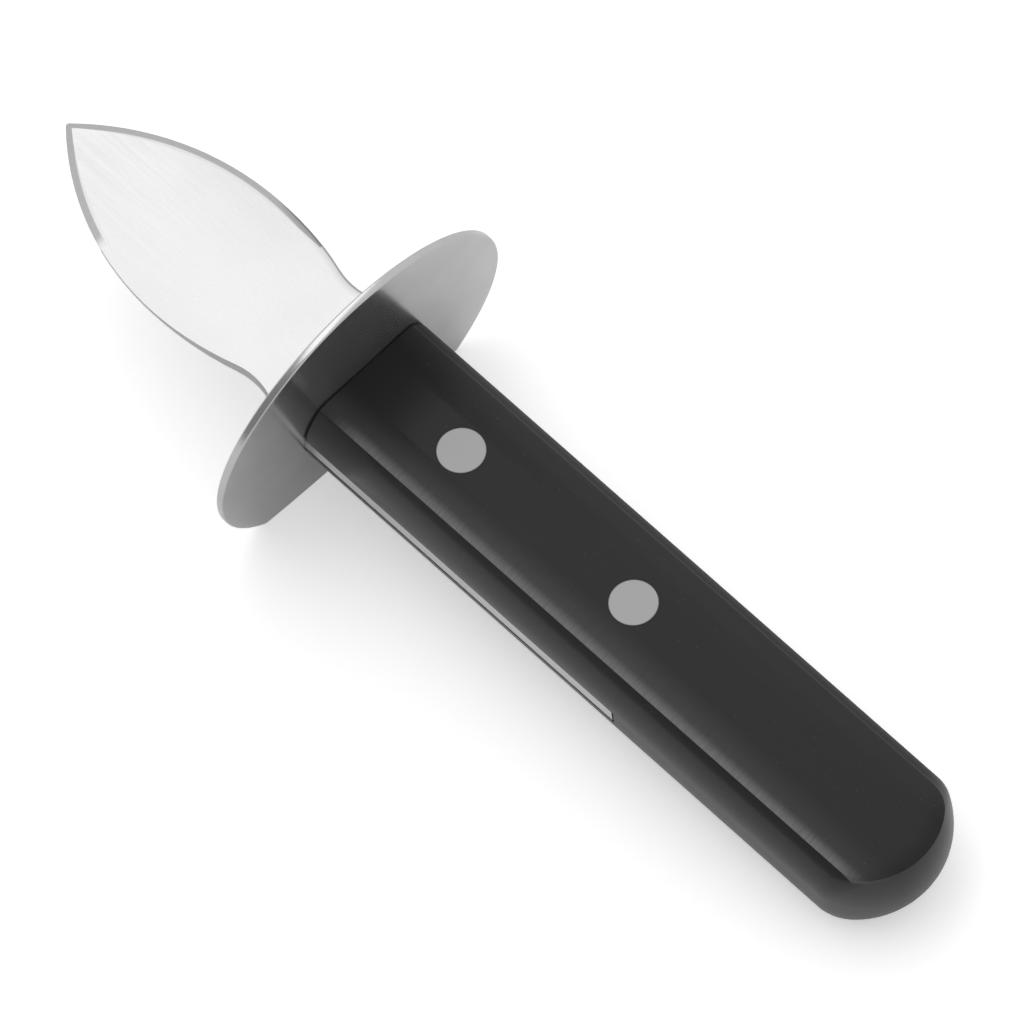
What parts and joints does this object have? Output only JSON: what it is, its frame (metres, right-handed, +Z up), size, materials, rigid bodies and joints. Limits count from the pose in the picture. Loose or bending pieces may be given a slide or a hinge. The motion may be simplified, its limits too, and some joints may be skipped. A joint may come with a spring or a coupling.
{
  "type": "oyster knife",
  "caption": "Oyster knife with a short leaf-shaped steel blade, a dished round hand guard with a flat foot, and a black one-piece handle closed by flush rivets.",
  "frame": {"origin": "middle of the guard's flat foot, on the surface that the knife lies on", "axes": "+X toward the point of the blade, +Z up, with the knife lying on the guard's foot and the heel of the handle, its nose raised by 5.23 degrees"},
  "size_m": [0.1674, 0.0534, 0.0451],
  "materials": {
    "blade_steel": "brushed lengthwise",
    "guard_steel": "satin",
    "handle_plastic": "satin",
    "rivet_metal": "satin, ground flush"
  },
  "bodies": {
    "root": {"blade": "blade_steel", "guard": "guard_steel", "handle": "handle_plastic", "front_rivet_pin": "rivet_metal", "front_rivet_barrel": "rivet_metal", "rear_rivet_pin": "rivet_metal", "rear_rivet_barrel": "rivet_metal"}
  },
  "joints": []
}
